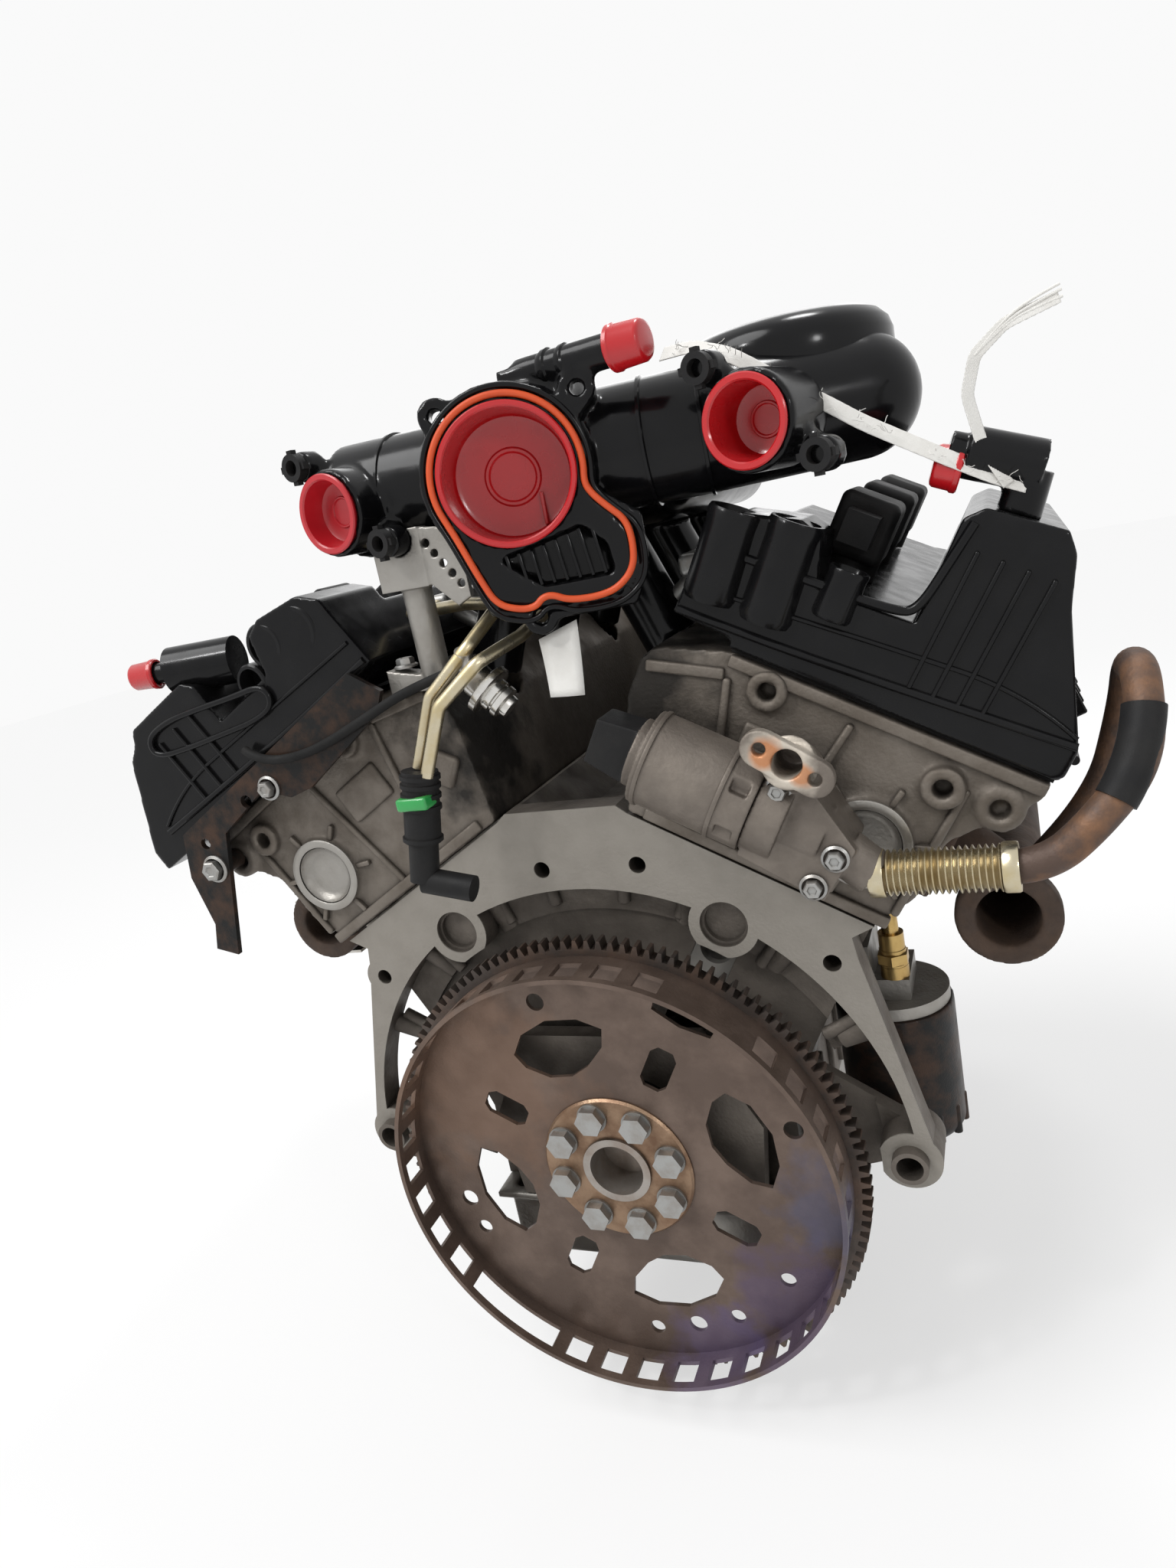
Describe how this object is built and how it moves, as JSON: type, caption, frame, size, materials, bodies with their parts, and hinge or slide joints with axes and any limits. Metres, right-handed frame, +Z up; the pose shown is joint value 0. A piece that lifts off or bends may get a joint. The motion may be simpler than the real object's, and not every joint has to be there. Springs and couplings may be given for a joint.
{
  "type": "vee engine assembly",
  "caption": "Vee engine seen from its flexplate end, with black intake duct and covers, capped ports, iron manifolds and sump.",
  "frame": {"origin": "on the crank axis, in the plane of the block's rear face", "axes": "+Z up, -Y out of the flexplate end along the crank, +X to the right as seen from that end"},
  "size_m": [0.6474, 0.539, 0.6886],
  "materials": {
    "cast_aluminium_block": "dull sand cast, machined rear face",
    "plated_steel": "plated",
    "bearing_iron": "machined",
    "forged_steel": "ground journals, brown stained flange",
    "heat_tinted_plate": "brown oxide with a violet tint",
    "dark_gear_steel": "dark oxide",
    "stained_steel": "brown stain",
    "bolt_steel": "dull zinc",
    "cast_aluminium_light": "cast",
    "seal_rubber": "matt",
    "cast_aluminium_head": "cast, machined joints",
    "gasket_steel": "thin laminated sheet",
    "spring_steel": "oiled",
    "cam_iron": "ground lobes",
    "black_cover_plastic": "satin moulding",
    "gasket_rubber": "matt",
    "coil_plastic": "matt",
    "plug_ceramic": "plated shell, glazed insulator",
    "black_intake_plastic": "glossy moulding",
    "orange_rubber": "matt bead",
    "red_plastic": "bright moulding",
    "pink_red_plastic": "bright moulding",
    "grey_black_plastic": "matt",
    "bracket_aluminium": "cast",
    "rail_steel": "plated",
    "motor_casting": "grey-brown casting, black connector",
    "rust_flecked_casting": "white flange with orange rust",
    "gold_zinc": "gold zinc",
    "rusty_pipe": "rusty with a black sleeve",
    "pan_casting": "cast",
    "piston_aluminium": "machined",
    "belt_rubber": "toothed belt",
    "pulley_steel": "plain",
    "damper_iron": "black oxide",
    "rusty_iron": "heavy brown rust",
    "shield_sheet": "bright crinkled sheet",
    "black_rusty_plate": "black paint with rust",
    "yellow_zinc": "yellow zinc",
    "connector_plastic": "matt",
    "bright_steel": "bright",
    "hose_rubber": "matt",
    "black_paint": "satin paint",
    "brass_sender": "brass",
    "woven_strap": "white weave"
  },
  "bodies": {
    "engine": {"engine_block": "cast_aluminium_block", "dowels_and_plugs": "plated_steel", "main_bearings": "bearing_iron", "rear_seal_housing": "cast_aluminium_light", "crank_seals": "seal_rubber", "cylinder_head_left": "cast_aluminium_head", "cylinder_head_right": "cast_aluminium_head", "head_gaskets": "gasket_steel", "valves_and_springs": "spring_steel", "rocker_gear": "forged_steel", "valve_cover_left": "black_cover_plastic", "valve_cover_right": "black_cover_plastic", "cover_gaskets": "gasket_rubber", "ignition_coils": "coil_plastic", "spark_plugs": "plug_ceramic", "intake_manifold": "black_intake_plastic", "throttle_gasket": "orange_rubber", "throttle_cap": "red_plastic", "vent_caps": "pink_red_plastic", "snap_nuts": "grey_black_plastic", "intake_strut": "bracket_aluminium", "fuel_rails": "rail_steel", "egr_motor": "motor_casting", "egr_valve_body": "rust_flecked_casting", "egr_bellows": "gold_zinc", "egr_pipe": "rusty_pipe", "oil_pan": "pan_casting", "pistons": "piston_aluminium", "connecting_rods": "forged_steel", "timing_belt": "belt_rubber", "timing_cover": "black_cover_plastic", "water_pump_housing": "cast_aluminium_light", "oil_pump": "cast_aluminium_light", "exhaust_manifold_left": "rusty_iron", "exhaust_manifold_right": "rusty_iron", "exhaust_heat_shield": "shield_sheet", "lifting_bracket": "black_rusty_plate", "fuel_feed_tubes": "yellow_zinc", "quick_connector": "connector_plastic", "pulse_damper": "bright_steel", "vacuum_hose": "hose_rubber", "breather_valve": "connector_plastic", "breather_elbow": "connector_plastic", "breather_caps": "red_plastic", "filter_adapter": "cast_aluminium_light", "oil_filter": "black_paint", "pressure_sender": "brass_sender", "packing_strap": "woven_strap"},
    "crank": {"crankshaft": "forged_steel", "flexplate": "heat_tinted_plate", "ring_gear": "dark_gear_steel", "hub_ring": "stained_steel", "flexplate_bolts": "bolt_steel", "crank_nose_parts": "forged_steel", "crank_damper": "damper_iron"},
    "cam_left": {"camshaft_left": "cam_iron"},
    "cam_right": {"camshaft_right": "cam_iron"},
    "water_pump": {"water_pump_rotor": "pulley_steel"},
    "egr_valve": {"egr_pintle": "plated_steel"},
    "filler_cap": {"oil_filler_cap": "connector_plastic"}
  },
  "joints": [
    {"name": "crank_spin", "type": "hinge", "parent": "engine", "child": "crank", "pos_m": [0, 0, 0], "axis": [0, 1, 0], "continuous": true, "deforming": ["connecting_rods"]},
    {"name": "cam_left_spin", "type": "hinge", "parent": "engine", "child": "cam_left", "pos_m": [-0.19044, 0, 0.26186], "axis": [0, 1, 0], "continuous": true},
    {"name": "cam_right_spin", "type": "hinge", "parent": "engine", "child": "cam_right", "pos_m": [0.19044, 0, 0.26186], "axis": [0, 1, 0], "continuous": true},
    {"name": "water_pump_spin", "type": "hinge", "parent": "engine", "child": "water_pump", "pos_m": [0.062, 0, 0.128], "axis": [0, 1, 0], "continuous": true},
    {"name": "egr_lift", "type": "slide", "parent": "engine", "child": "egr_valve", "axis": [0.866, 0, -0.5], "range_m": [-0.006, 0], "stiffness_N_per_m": 800},
    {"name": "filler_cap_turn", "type": "hinge", "parent": "engine", "child": "filler_cap", "pos_m": [-0.26769, 0.3, 0.33966], "axis": [-0.5, 0, 0.866], "range_deg": [0, 90]}
  ],
  "couplings": [
    {"joint": "cam_left_spin", "follows": "crank_spin", "ratio": 0.5},
    {"joint": "cam_right_spin", "follows": "crank_spin", "ratio": 0.5}
  ]
}
